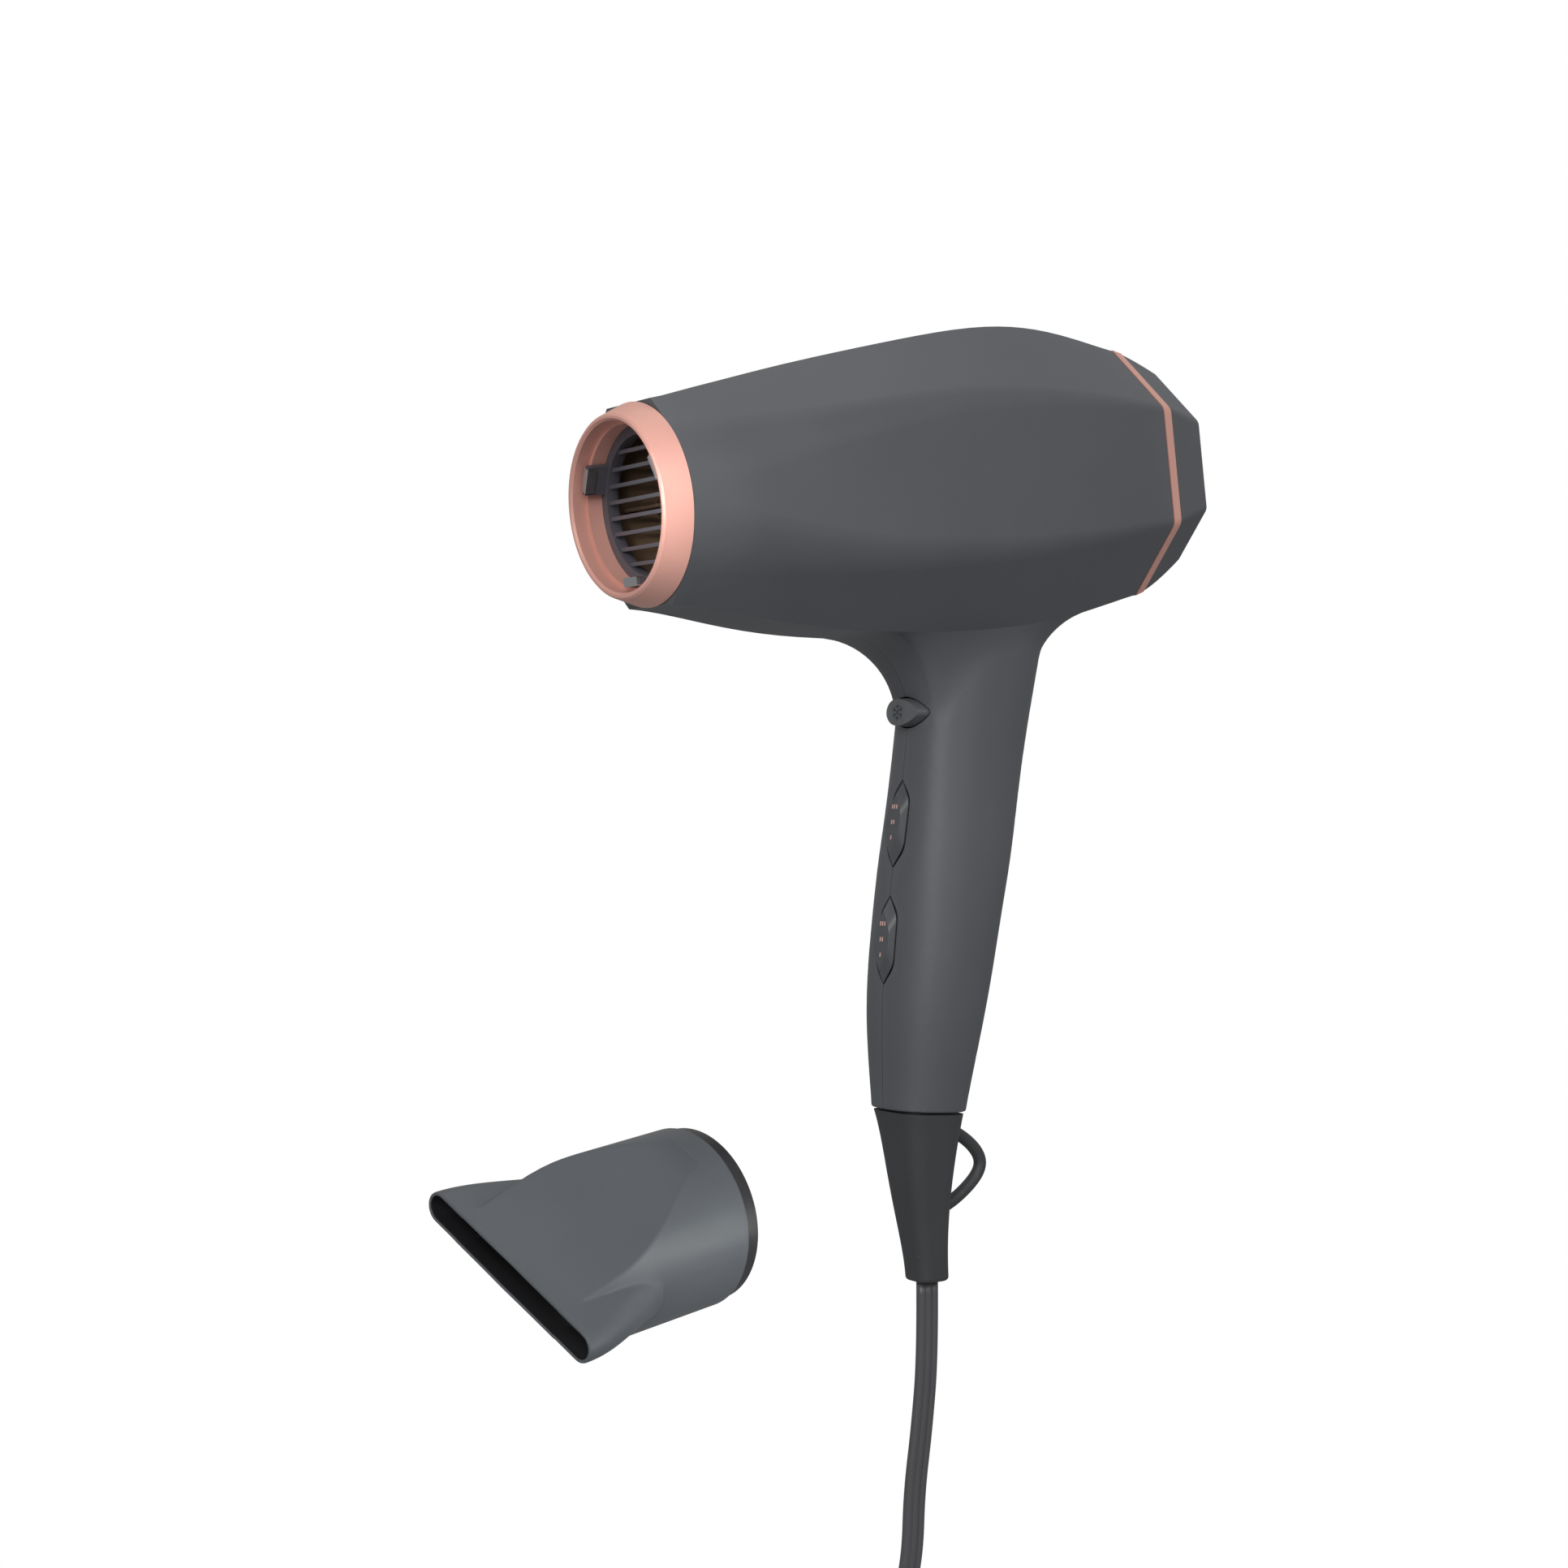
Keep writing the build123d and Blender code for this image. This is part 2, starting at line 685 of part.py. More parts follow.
def rocker_cap(place):
    """Bevelled cap on a stem with two trunnions."""
    with BuildPart() as cap:
        for level, length, width, level_end, length_end, width_end in (
            (-2.6, rocker_length - 2.8, rocker_width - 1.2, 0, rocker_length, rocker_width),
            (0, rocker_length, rocker_width, rocker_rise, rocker_length - 8.2, rocker_width - 1.4),
        ):
            with BuildSketch(place.offset(level)):
                add(rocker_outline(length, width))
            with BuildSketch(place.offset(level_end)):
                add(rocker_outline(length_end, width_end))
            loft(ruled=True)
        with BuildSketch(place.offset(-rocker_pivot_depth - 1.4)):
            RectangleRounded(4.6, 4.0, 0.5)
        extrude(amount=rocker_pivot_depth + 1.4 - 2.0)
        pivot = Plane(
            origin=place.origin - place.z_dir * rocker_pivot_depth, x_dir=place.y_dir, z_dir=place.x_dir
        )
        with BuildSketch(pivot):
            Circle(trunnion_radius)
        extrude(amount=4.1, both=True)
    return cap.part


def switch_body(place):
    """Three-position switch: a block with two ears for the rocker and three terminals."""
    with BuildPart() as body:
        with BuildSketch(place.offset(-switch_bottom)):
            RectangleRounded(switch_width, switch_length, 0.6)
        extrude(amount=switch_bottom - switch_top)
        with BuildSketch(place.offset(-switch_top - 0.1)):
            with GridLocations(2 * 3.4, 0, 2, 1):
                RectangleRounded(1.4, 6.5, 0.4)
        extrude(amount=switch_top + 0.1 - ear_top)
        pivot = Plane(
            origin=place.origin - place.z_dir * rocker_pivot_depth, x_dir=place.y_dir, z_dir=place.x_dir
        )
        with BuildSketch(pivot):
            Circle(trunnion_radius + running_gap)
        extrude(amount=6, both=True, mode=Mode.SUBTRACT)
        with BuildSketch(place.offset(-switch_bottom - 3.6)):
            with GridLocations(0, 6.2, 1, 3):
                Rectangle(4.4, 0.7)
        extrude(amount=3.7)
    return body.part


save(rocker_cap(upper_rocker_plane), "heat_rocker")
save(rocker_cap(lower_rocker_plane), "speed_rocker")
save(switch_body(upper_rocker_plane), "heat_switch")
save(switch_body(lower_rocker_plane), "speed_switch")

# ---- Cool-shot button ---------------------------------------------------------------------
flange_depth = 4.5
flange_thickness = 1.0
with BuildPart() as cool_button:
    with BuildSketch(button_plane.offset(-flange_depth - flange_thickness)):
        add(eye_outline(button_width, button_height))
    extrude(amount=flange_depth + flange_thickness)
    with BuildSketch(button_plane):
        add(eye_outline(button_width, button_height))
    with BuildSketch(button_plane.offset(button_rise + 0.5)):
        add(eye_outline(button_width - 1.4, button_height - 0.9))
    loft(ruled=True)
    with BuildSketch(Plane(origin=button_plane.origin - Vector(0, 0, 12), z_dir=(0, 0, 1))):
        with Locations((button_crown - button_rise, 0)):
            Circle(button_crown)
    extrude(amount=24, mode=Mode.INTERSECT)
    with BuildSketch(button_plane.offset(-flange_depth - flange_thickness)):
        RectangleRounded(15.4, button_height + 2.4, 2)
    extrude(amount=flange_thickness)
    # engraved snowflake
    with BuildSketch(button_plane.offset(button_rise - 0.5)):
        for spoke in range(6):
            with Locations(Location((0, 0, 0), (0, 0, 60 * spoke))):
                with Locations((0, 1.45)):
                    Rectangle(0.32, 2.3)
                with Locations(Location((0.42, 1.75, 0), (0, 0, -45)), Location((-0.42, 1.75, 0), (0, 0, 45))):
                    Rectangle(0.28, 1.1)
    extrude(amount=2, mode=Mode.SUBTRACT)
save(cool_button.part, "cool_button")

spring_top = flange_depth + flange_thickness + 0.1
cool_switch_depth = 12.4
spring_coil_radius, spring_wire = 2.3, 0.35
with BuildPart() as cool_spring:
    with BuildLine() as spring_route:
        spring_length = cool_switch_depth - spring_top - 0.3 - 2 * spring_wire
        Helix(
            pitch=spring_length / 4.5,
            height=spring_length,
            radius=spring_coil_radius,
            center=button_plane.origin - button_plane.z_dir * (spring_top + spring_wire),
            direction=-button_plane.z_dir,
        )
    with BuildSketch(Plane(origin=spring_route.line @ 0, z_dir=spring_route.line % 0)):
        Circle(spring_wire)
    sweep()
save(cool_spring.part, "cool_spring")

with BuildPart() as cool_switch:
    with BuildSketch(button_plane.offset(-cool_switch_depth - 7)):
        RectangleRounded(11, 6.4, 0.6)
    extrude(amount=7)
    with BuildSketch(button_plane.offset(-cool_switch_depth)):
        Circle(1.3)
    extrude(amount=3.2)
    with BuildSketch(button_plane.offset(-cool_switch_depth - 10)):
        with GridLocations(6, 0, 2, 1):
            Rectangle(0.7, 3.6)
    extrude(amount=3.1)
save(cool_switch.part, "cool_switch")

# ---- Bend relief --------------------------------------------------------------------------
# Stations: height, middle, half size and corner radius.
boot_stations = (
    (boot_top, -9.3, 11.7, 7.0),
    (-91.0, -8.8, 9.3, 5.8),
    (-107.0, -8.0, 7.3, 4.7),
    (-117.0, -7.0, 6.3, 4.2),
    (boot_bottom, -6.0, 5.8, 3.9),
)
boot_middle = boot_stations[0][1]
boot_exit = Vector(boot_stations[-1][1], 0, boot_bottom)
neck_top = -62.0
groove_low, groove_high = -70.4, -66.4
with BuildPart() as boot:
    for height, middle, half, corner in boot_stations:
        tilt = handle_end_tilt * (height - boot_bottom) / (boot_top - boot_bottom)
        level = Plane(
            origin=(middle, 0, height), x_dir=(cos(radians(tilt)), 0, -sin(radians(tilt))),
            z_dir=(sin(radians(tilt)), 0, cos(radians(tilt))),
        )
        with BuildSketch(level):
            RectangleRounded(2 * half, 2 * half, corner)
    loft()
    fillet(boot.faces().sort_by(Axis.Z)[0].edges(), 1.2)
    with BuildSketch(Plane(origin=(boot_middle, 0, boot_top - 4))):
        RectangleRounded(2 * boot_neck - 1, 2 * boot_neck - 1, 4)
    extrude(amount=groove_low - boot_top + 4)
    with BuildSketch(Plane(origin=(boot_middle, 0, groove_low - 0.1))):
        Circle(6.5)
    extrude(amount=neck_top - groove_low)
    with BuildSketch(Plane(origin=(boot_middle, 0, groove_high))):
        RectangleRounded(2 * boot_neck - 3, 2 * boot_neck - 3, 4)
    extrude(amount=neck_top - groove_high)
    # hanging loop behind
    with BuildLine() as loop_route:
        Spline((-2.0, 0, -81.6), (8.6, 0, -86.0), (14.5, 0, -94.0), (9.6, 0, -100.6), (-2.0, 0, -106.6))
    with BuildSketch(Plane(origin=loop_route.line @ 0, z_dir=loop_route.line % 0)):
        Ellipse(1.95, 1.95)
    sweep()
save(boot.part, "boot")

with BuildPart() as cord_clamp:
    with BuildSketch(Plane(origin=(boot_middle, 0, groove_low + 0.3))):
        RectangleRounded(19, 19, 4)
        Circle(6.6, mode=Mode.SUBTRACT)
    extrude(amount=groove_high - groove_low - 0.6)
save(cord_clamp.part, "cord_clamp")

# ---- Wiring inside the handle -------------------------------------------------------------
wire_radius = 1.1


def handle_wire(side, end):
    """A wire from the boot's neck up the back of the handle and forward under the motor."""
    points = [
        Vector(boot_middle + 1, side * 0.7, neck_top + 0.3),
        Vector(boot_middle + 2, side * 0.7, -55),
        Vector(0, side, -42),
        Vector(7.0, side, -20),
        Vector(11.5, side, 10),
        Vector(15.5, side, 42),
        barrel_point(129, -38.0, side),
        barrel_point(94.2, -38.2, side),
        end,
    ]
    return tube_along(points, [5, 8, 10, 12, 12, 9, 5], wire_radius)


save(handle_wire(-3.2, barrel_point(94.2, -14.4, -3.2)), "live_wire")
save(handle_wire(3.2, barrel_point(94.2, -14.4, 3.2)), "neutral_wire")

# ---- Mains lead ---------------------------------------------------------------------------
hank_top = -228.0
hank_x = -11.2
end_gap = 0.3  # between a cord's end and the piece that it enters
cord_points = [
    (boot_exit.X, 0, boot_bottom - end_gap),
    (-5.8, 0, -150),
    (-8.0, 0, -172),
    (-10.9, 0, -191),
    (-11.6, 0, -210),
    (hank_x, 0, hank_top + end_gap),
]


def corner_radii(points):
    """The largest easy radius at each corner of a route: 0.45 of its shorter run over tan(turn / 2)."""
    radii = []
    for before, corner, after in zip(points, points[1:], points[2:]):
        into, out = Vector(corner) - Vector(before), Vector(after) - Vector(corner)
        turn = radians(into.get_angle(out))
        radii.append(0.45 * min(into.length, out.length) / tan(turn / 2))
    return radii


def flat_cord(points):
    """The flat lead along a route in the XZ plane, its wide side in that plane."""
    with BuildPart() as lead:
        with BuildLine() as route:
            FilletPolyline(*points, radius=corner_radii(points))
        with BuildSketch(Plane(origin=route.line @ 0, x_dir=(1, 0, 0), z_dir=route.line % 0)):
            SlotOverall(cord_width, cord_thickness)
        sweep()
    section = cord_thickness * (cord_width - cord_thickness) + pi * cord_thickness**2 / 4
    length = sum(edge.length for edge in route.edges())
    print(
        "cord radii", [round(r) for r in corner_radii(points)],
        "volume over section times length", round(lead.part.volume / (section * length), 4),
    )
    return lead.part


save(flat_cord(cord_points), "cord")

hank_bottom = hank_top - hank_bottom_drop
hank_middle = (hank_top + hank_bottom) / 2
hank_plane = Plane(origin=(hank_x, 0, hank_middle), x_dir=(0, 1, 0), z_dir=(1, 0, 0))
hank_shoulder = hank_bottom_drop / 2 - hank_outer
with BuildPart() as cord_hank:
    with BuildSketch(hank_plane):
        with BuildLine():
            crown = ThreePointArc(
                (hank_outer, hank_shoulder), (0, hank_bottom_drop / 2), (-hank_outer, hank_shoulder)
            )
            left = Spline(
                crown @ 1, (-hank_waist, 0), (-hank_outer, -hank_shoulder), tangents=((0, -1), (0, -1))
            )
            heel = ThreePointArc(left @ 1, (0, -hank_bottom_drop / 2), (hank_outer, -hank_shoulder))
            Spline(heel @ 1, (hank_waist, 0), crown @ 0, tangents=((0, 1), (0, 1)))
        make_face()
    extrude(amount=hank_depth / 2, both=True)
    fillet(cord_hank.edges().filter_by(lambda e: abs(e.center().X - hank_x) > 1), 3.0)
save(cord_hank.part, "cord_hank")

tie_width = 12.0
with BuildPart() as cord_tie:
    with BuildSketch(Plane.XY.offset(hank_middle - tie_width / 2)):
        with Locations((hank_x, 0)):
            RectangleRounded(hank_depth + 3.4, 2 * hank_waist + 6.8, 4.5)
            RectangleRounded(hank_depth + 1.0, 2 * hank_waist + 4.6, 3.3, mode=Mode.SUBTRACT)
    extrude(amount=tie_width)
save(cord_tie.part, "cord_tie")

tail_points = [
    (hank_x, 0, hank_bottom - 2 * end_gap),
    (hank_x - 0.6, 0, hank_bottom - 8),
    (hank_x, 0, hank_bottom - 16),
]
save(flat_cord(tail_points), "cord_tail")

# ---- Plug ---------------------------------------------------------------------------------
plug_top = tail_points[-1][2] - end_gap
relief_length = 22.0
plug_length, plug_width, plug_depth = 48.0, 37.0, 25.0
cover_share = 0.55  # the plug's front half takes this share of its depth
plug_start = plug_top - relief_length
blade_gap, blade_height, blade_thickness, blade_length = 12.7, 6.3, 1.5, 17.5


def plug_half(from_y, to_y):
    """One half of the plug's case, hollow round its parts."""
    with BuildPart() as half:
        with BuildSketch(Plane.XY.offset(plug_start)):
            with Locations((hank_x, 0)):
                RectangleRounded(plug_width - 8, plug_depth - 5, 5)
        with BuildSketch(Plane.XY.offset(plug_start - 12)):
            with Locations((hank_x, 0)):
                RectangleRounded(plug_width, plug_depth, 6)
        loft()
        with BuildSketch(Plane.XY.offset(plug_start - 12)):
            with Locations((hank_x, 0)):
                RectangleRounded(plug_width, plug_depth, 6)
        extrude(amount=-(plug_length - 12))
        fillet(half.faces().sort_by(Axis.Z)[0].edges(), 2.0)
        with BuildSketch(Plane.XY.offset(plug_start - 10)):
            with Locations((hank_x, 0)):
                RectangleRounded(plug_width - 5, plug_depth - 5, 4)
        extrude(amount=-(plug_length - 13), mode=Mode.SUBTRACT)
        with BuildSketch(Plane.XY.offset(plug_start - plug_length - 1)):
            with Locations((hank_x, 0)):
                with GridLocations(blade_gap, 0, 2, 1):
                    Rectangle(blade_thickness + 0.2, blade_height + 0.2)
        extrude(amount=6, mode=Mode.SUBTRACT)
        with BuildSketch(Plane.XZ.offset(-to_y)):
            with Locations((hank_x, plug_start - plug_length / 2)):
                Rectangle(plug_width + 10, plug_length + 10)
        extrude(amount=to_y - from_y, mode=Mode.INTERSECT)
    return half.part


seam_y = plug_depth * (cover_share - 0.5)
button_drops = (16.5, 30.0)  # below the plug's top
plug_button_length, plug_button_width = 8.0, 12.0
front_case = plug_half(-plug_depth, seam_y - 0.05)
with BuildPart() as plug_cover:
    add(front_case)
    for drop in button_drops:
        with BuildSketch(Plane.XZ):
            with Locations((hank_x, plug_start - drop)):
                RectangleRounded(plug_button_width + 0.6, plug_button_length + 0.6, 1.8)
        extrude(amount=plug_depth, mode=Mode.SUBTRACT)
save(plug_cover.part, "plug_cover")

blade_floor = plug_start - plug_length
with BuildPart() as plug_body:
    add(plug_half(seam_y + 0.05, plug_depth))
save(plug_body.part, "plug_body")

with BuildPart() as plug_blades:
    with BuildSketch(Plane.XY.offset(blade_floor - blade_length)):
        with Locations((hank_x, 0)):
            with GridLocations(blade_gap, 0, 2, 1):
                Rectangle(blade_thickness, blade_height)
    extrude(amount=blade_length + 12)
    chamfer(plug_blades.faces().sort_by(Axis.Z)[:2].edges().filter_by(Axis.Y), 0.4)
save(plug_blades.part, "plug_blades")


def plug_button(drop):
    """A push button with a flange inside the plug's cover."""
    with BuildPart() as button:
        with BuildSketch(Plane.XZ.offset(plug_depth / 2 - 4.4)):
            with Locations((hank_x, plug_start - drop)):
                RectangleRounded(plug_button_width, plug_button_length, 1.5)
        extrude(amount=5.6)
        with BuildSketch(Plane.XZ.offset(plug_depth / 2 - 4.4)):
            with Locations((hank_x, plug_start - drop)):
                RectangleRounded(plug_button_width + 2.4, plug_button_length + 2.4, 2)
        extrude(amount=1.6)
        fillet(button.faces().sort_by(Axis.Y)[0].edges(), 0.6)
    return button.part


save(plug_button(button_drops[0]), "plug_test_button")
save(plug_button(button_drops[1]), "plug_reset_button")

with BuildPart() as plug_relief:
    with BuildSketch(Plane.XY.offset(plug_top)):
        with Locations((hank_x, 0)):
            RectangleRounded(cord_width + 2.4, cord_thickness + 3.4, 2.2)
    with BuildSketch(Plane.XY.offset(plug_start + 0.05)):
        with Locations((hank_x, 0)):
            RectangleRounded(cord_width + 9, cord_thickness + 9, 4)
    loft()
save(plug_relief.part, "plug_relief")

# ---- Slot nozzle --------------------------------------------------------------------------
nozzle_place = Vector(-101.8, -20.6, -95.6)  # middle of the collar's back end
nozzle_yaw, nozzle_tilt, nozzle_roll = 11.0, 6.7, 118.6
nozzle_forward = Vector(-cos(radians(nozzle_tilt)) * cos(radians(nozzle_yaw)),
                        -cos(radians(nozzle_tilt)) * sin(radians(nozzle_yaw)),
                        -sin(radians(nozzle_tilt)))
level_side = Vector(0, 0, 1).cross(nozzle_forward).normalized()
nozzle_up = nozzle_forward.cross(level_side)
slot_dir = nozzle_up * cos(radians(nozzle_roll)) + level_side * sin(radians(nozzle_roll))
nozzle_plane = Plane(origin=nozzle_place, x_dir=slot_dir, z_dir=nozzle_forward)
collar_radius = socket_radius - 0.2
collar_length = 4.4
nozzle_length = 67.2
nozzle_wall = 1.9
# Stations from the back: distance, half width along the slot, half height, and the power that
# sets how square the outline is (2 is an ellipse).
nozzle_stations = (
    (collar_length, 24.8, 24.8, 2.0),
    (20, 25.2, 25.0, 2.0),
    (34, 26.8, 21.8, 2.1),
    (50, 30.5, 12.6, 2.3),
    (nozzle_length, 34.4, 4.4, 2.9),
)


def nozzle_form(inset=0.0, overrun=0.0):
    """The nozzle from its round back to its flat slot."""
    with BuildPart() as form:
        for place, half_x, half_y, power in nozzle_stations:
            shift = {collar_length: -overrun, nozzle_length: overrun}.get(place, 0)
            with BuildSketch(nozzle_plane.offset(place + shift)):
                with BuildLine():
                    Spline(*soft_square(0, half_x - inset, half_y - inset, power, 24), periodic=True)
                make_face()
        loft()
    return form.part


with BuildPart() as concentrator_shell:
    add(nozzle_form())
    add(nozzle_form(nozzle_wall, 0.4), mode=Mode.SUBTRACT)
save(concentrator_shell.part, "concentrator_shell")

sleeve_gap = 0.25
with BuildPart() as concentrator_collar:
    with BuildSketch(nozzle_plane):
        Circle(collar_radius)
        Circle(collar_radius - 1.5, mode=Mode.SUBTRACT)
    extrude(amount=collar_length - seam)
    with BuildSketch(nozzle_plane):
        Circle(24.8 - nozzle_wall - sleeve_gap)
        Circle(24.8 - nozzle_wall - sleeve_gap - 1.3, mode=Mode.SUBTRACT)
    extrude(amount=collar_length + 7)
save(concentrator_collar.part, "concentrator_collar")
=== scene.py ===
import math

import bpy
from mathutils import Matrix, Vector


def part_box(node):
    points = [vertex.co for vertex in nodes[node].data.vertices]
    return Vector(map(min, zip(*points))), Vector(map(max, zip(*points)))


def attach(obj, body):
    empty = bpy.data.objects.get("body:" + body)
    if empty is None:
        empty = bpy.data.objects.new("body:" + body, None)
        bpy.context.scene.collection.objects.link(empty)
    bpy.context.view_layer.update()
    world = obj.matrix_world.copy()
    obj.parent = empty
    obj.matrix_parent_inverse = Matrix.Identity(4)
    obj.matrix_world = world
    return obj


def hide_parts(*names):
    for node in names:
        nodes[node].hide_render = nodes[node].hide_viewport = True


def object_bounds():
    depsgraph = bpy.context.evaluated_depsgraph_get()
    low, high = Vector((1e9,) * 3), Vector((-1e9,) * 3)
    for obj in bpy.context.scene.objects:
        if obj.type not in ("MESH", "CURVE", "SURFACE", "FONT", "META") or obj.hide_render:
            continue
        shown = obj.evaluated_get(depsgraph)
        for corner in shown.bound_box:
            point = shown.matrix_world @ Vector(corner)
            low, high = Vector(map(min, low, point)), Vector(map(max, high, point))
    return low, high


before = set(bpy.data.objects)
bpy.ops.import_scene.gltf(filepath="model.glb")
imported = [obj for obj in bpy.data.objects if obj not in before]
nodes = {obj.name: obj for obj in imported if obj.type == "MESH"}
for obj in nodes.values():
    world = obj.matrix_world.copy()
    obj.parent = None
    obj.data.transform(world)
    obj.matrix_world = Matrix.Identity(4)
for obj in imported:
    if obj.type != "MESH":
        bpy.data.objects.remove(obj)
cad_box = [list(map(float, corner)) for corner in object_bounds()]
MM = 0.001


# ---- camera -------------------------------------------------------------------------------
# Fitted to the nose ring's two ellipses, the grille bars and the outline of the dryer.
LENS, SENSOR = 56.65, 36
CAMERA_PLACE = (-0.46479, -0.59562, 0.01921)
CAMERA_AZIMUTH, CAMERA_RISE = math.radians(34.29), math.radians(0.29)


def make_camera():
    data = bpy.data.cameras.new("camera")
    data.lens = LENS
    data.sensor_width = SENSOR
    data.clip_start = 0.01
    camera = bpy.data.objects.new("camera", data)
    bpy.context.scene.collection.objects.link(camera)
    camera.location = CAMERA_PLACE
    look = Vector(
        (
            math.sin(CAMERA_AZIMUTH) * math.cos(CAMERA_RISE),
            math.cos(CAMERA_AZIMUTH) * math.cos(CAMERA_RISE),
            math.sin(CAMERA_RISE),
        )
    )
    camera.rotation_euler = look.to_track_quat("-Z", "Y").to_euler()
    bpy.context.scene.camera = camera


make_camera()


# ---- mesh helpers -------------------------------------------------------------------------
def mesh_object(name, points, faces, smooth=True):
    mesh = bpy.data.meshes.new(name)
    mesh.from_pydata([tuple(p) for p in points], [], faces)
    mesh.validate()
    mesh.update()
    for polygon in mesh.polygons:
        polygon.use_smooth = smooth
    made = bpy.data.objects.new(name, mesh)
    bpy.context.scene.collection.objects.link(made)
    return made


def swept(name, path, outline, across):
    """A capped tube of the outline along a path; across is the outline's x direction."""
    count, points = len(outline), []
    for i, p in enumerate(path):
        ahead = (path[min(i + 1, len(path) - 1)] - path[max(i - 1, 0)]).normalized()
        wide = (across - ahead * across.dot(ahead)).normalized()
        thin = ahead.cross(wide)
        points += [p + wide * u + thin * v for u, v in outline]
    faces = [
        (
            i * count + j,
            i * count + (j + 1) % count,
            (i + 1) * count + (j + 1) % count,
            (i + 1) * count + j,
        )
        for i in range(len(path) - 1)
        for j in range(count)
    ]
    faces += [
        tuple(range(count))[::-1],
        tuple((len(path) - 1) * count + j for j in range(count)),
    ]
    return mesh_object(name, points, faces)


# ---- the flat lead ------------------------------------------------------------------------
# Places in the hank are in millimetres. Each turn runs round two folds and pulls in at the tie.
CORD_WIDTH = 7.6 * MM
CORE_RADIUS = 1.55 * MM
hank_x, hank_top, hank_drop = -11.2, -228.0, 158.0
hank_bottom = hank_top - hank_drop
hank_radius = 31.0
layer_offset = 3.9  # of each of the hank's two layers from its middle
fold_high, fold_low = hank_top - hank_radius, hank_bottom + hank_radius
waist_z = (fold_high + fold_low) / 2
shoulder_rise, shoulder_share = 21, 0.3
outer_turn, middle_turn, inner_turn = (29.4, 15.4), (26.1, 12.0), (22.9, 8.7)


def hank_turn(radius, waist, x, x_end=None):
    """Control points of one turn of the hank, from the right of its top fold downwards."""
    x_end = x if x_end is None else x_end
    reach = radius / 0.975  # the spline runs inside its control points
    shoulder = waist + (reach - waist) * shoulder_share

    def fold(height, angles):
        return [(reach * math.cos(a), height + reach * math.sin(a)) for a in angles]

    ring = [
        *fold(fold_high, [0]),
        (shoulder, waist_z + shoulder_rise),
        (waist, waist_z),
        (shoulder, waist_z - shoulder_rise),
        *fold(fold_low, [-step * math.pi / 6 for step in range(7)]),
        (-shoulder, waist_z - shoulder_rise),
        (-waist, waist_z),
        (-shoulder, waist_z + shoulder_rise),
        *fold(fold_high, [math.pi - step * math.pi / 6 for step in range(6)]),
    ]
    share = [i / (len(ring) - 1) for i in range(len(ring))]
    return [
        Vector((x + (x_end - x) * t, y, z)) * MM
        for (y, z), t in zip(ring, share, strict=True)
    ]


def lead_points():
    """The lead's route: out of the boot, round the hank, and down into the plug relief."""
    points = [
        Vector(p) * MM
        for p in (
            (-6.0, 0, -127.6),
            (-5.8, 0, -150),
            (-8.0, 0, -172),
            (-10.9, 0, -191),
            (-11.6, 0, -210),
            (-12.6, 3, -223),
            (-14.6, 17, -236),
            (-15.1, 27, -248),
        )
    ]
    near, far = hank_x - layer_offset, hank_x + layer_offset
    points += hank_turn(*outer_turn, near)
    points += hank_turn(*middle_turn, near)
    points += hank_turn(*inner_turn, near, far)
    points += hank_turn(*middle_turn, far)
    points += hank_turn(*outer_turn, far)[:5]
    points += [
        Vector(p) * MM
        for p in (
            (-8.0, 25, fold_low - 16),
            (-9.4, 13, hank_bottom - 1),
            (-10.8, 3, hank_bottom - 8),
            (-11.2, 0, hank_bottom - 16.2),
        )
    ]
    return points


def smooth_line(points, name):
    """The points of the NURBS spline that has these control points."""
    data = bpy.data.curves.new(name, "CURVE")
    data.dimensions = "3D"
    spline = data.splines.new("NURBS")
    spline.points.add(len(points) - 1)
    for point, place in zip(spline.points, points, strict=True):
        point.co = (*place, 1)
    spline.order_u = 3
    spline.use_endpoint_u = True
    spline.resolution_u = 10
    curve = bpy.data.objects.new(name, data)
    bpy.context.scene.collection.objects.link(curve)
    mesh = bpy.data.meshes.new_from_object(curve)
    line = [v.co.copy() for v in mesh.vertices]
    bpy.data.objects.remove(curve)
    bpy.data.curves.remove(data)
    bpy.data.meshes.remove(mesh)
    return line


def lobed_outline():
    """Three joined round cores, side by side."""
    outline = []
    pitch = CORD_WIDTH / 2 - CORE_RADIUS
    for middle, start, stop in (
        (pitch, -136, 136),
        (0, 48, 132),
        (-pitch, 44, 316),
        (0, 228, 312),
    ):
        steps = 12 if abs(stop - start) > 90 else 5
        for k in range(steps + 1):
            a = math.radians(start + (stop - start) * k / steps)
            outline.append((middle + CORE_RADIUS * math.cos(a), CORE_RADIUS * math.sin(a)))
    return outline


cord_line = smooth_line(lead_points(), "cord_line")
mains_lead = swept("mains_lead", cord_line, lobed_outline(), Vector((1, 0, 0)))
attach(mains_lead, "dryer")
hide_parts("cord", "cord_hank", "cord_tail")


